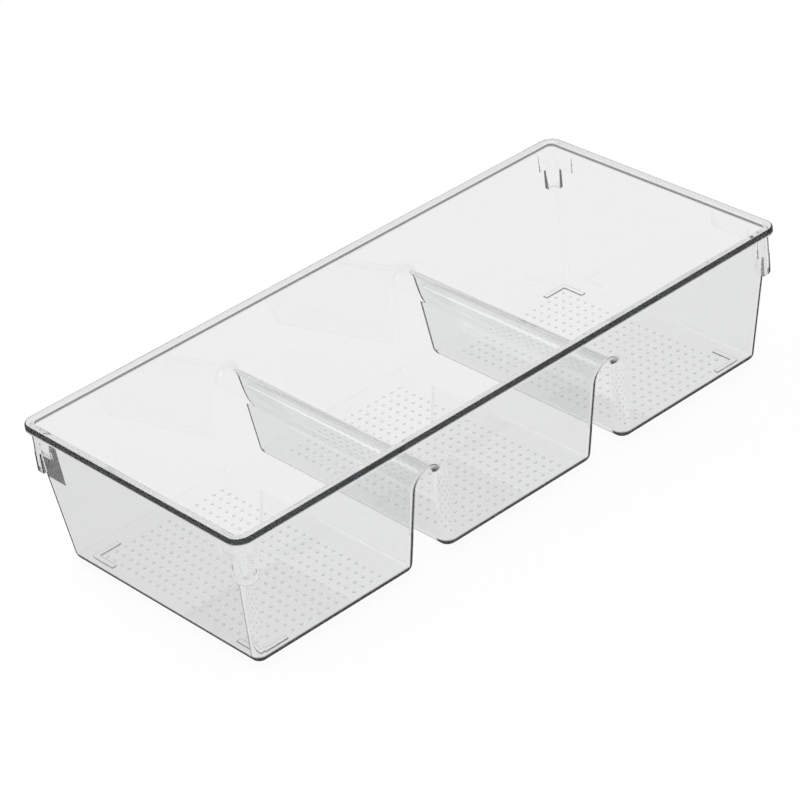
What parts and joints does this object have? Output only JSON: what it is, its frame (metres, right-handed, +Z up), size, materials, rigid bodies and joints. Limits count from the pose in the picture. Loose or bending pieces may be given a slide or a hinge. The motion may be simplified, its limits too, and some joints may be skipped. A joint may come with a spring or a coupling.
{
  "type": "drawer organizer",
  "caption": "Clear plastic drawer organizer tray: open bins side by side with low saddle-shaped dividers, a flat rim, stacking lugs at the corners and small feet.",
  "frame": {"origin": "on the table under the middle of the tray", "axes": "+X along the tray, +Y across it, +Z up"},
  "size_m": [0.3254, 0.1478, 0.0727],
  "materials": {
    "clear_plastic": "clear, glossy, moulded"
  },
  "bodies": {
    "root": {"rim": "clear_plastic", "left_bin": "clear_plastic", "middle_bin": "clear_plastic", "right_bin": "clear_plastic", "left_divider": "clear_plastic", "right_divider": "clear_plastic", "left_front_lug": "clear_plastic", "right_front_lug": "clear_plastic", "left_back_lug": "clear_plastic", "right_back_lug": "clear_plastic", "left_front_foot": "clear_plastic", "right_front_foot": "clear_plastic", "left_back_foot": "clear_plastic", "right_back_foot": "clear_plastic"}
  },
  "joints": []
}
